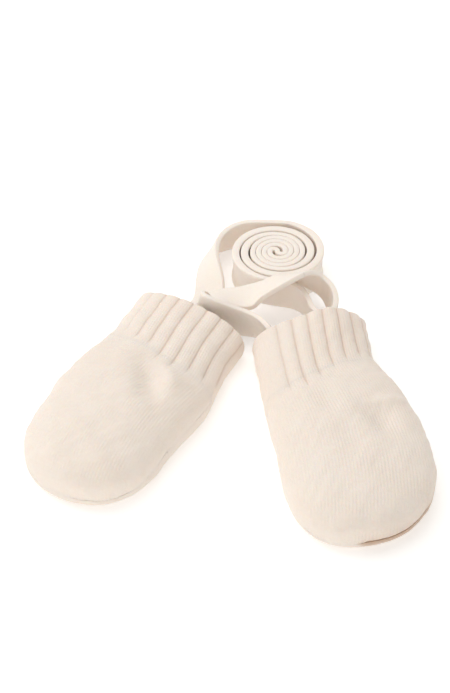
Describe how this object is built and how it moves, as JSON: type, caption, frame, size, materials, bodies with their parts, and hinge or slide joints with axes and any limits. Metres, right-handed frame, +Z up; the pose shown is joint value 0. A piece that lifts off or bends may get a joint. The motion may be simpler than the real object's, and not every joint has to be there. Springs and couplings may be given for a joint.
{
  "type": "pair of baby mittens",
  "caption": "Thumbless knitted baby mittens with ribbed cuffs, lying open, joined by a long flat strap rolled up between them.",
  "frame": {"origin": "middle of the pair's outline seen from above, on the surface that it lies on", "axes": "+Z up from that surface, +Y from the hand tips towards the rolled strap, +X towards the mitten on the viewer's right"},
  "size_m": [0.176, 0.2025, 0.0268],
  "materials": {
    "plain_knit": "matte plain-knit wool, cream",
    "ribbed_knit": "matte ribbed wool, cream",
    "strap_knit": "matte flat knitted wool band, cream"
  },
  "bodies": {
    "root": {"left_cuff": "ribbed_knit", "left_hand_upper": "plain_knit", "left_hand_under": "plain_knit", "right_cuff": "ribbed_knit", "right_hand_upper": "plain_knit", "right_hand_under": "plain_knit", "strap_coil": "strap_knit", "strap_left_run": "strap_knit", "strap_right_arch": "strap_knit", "strap_right_return": "strap_knit"}
  },
  "joints": []
}
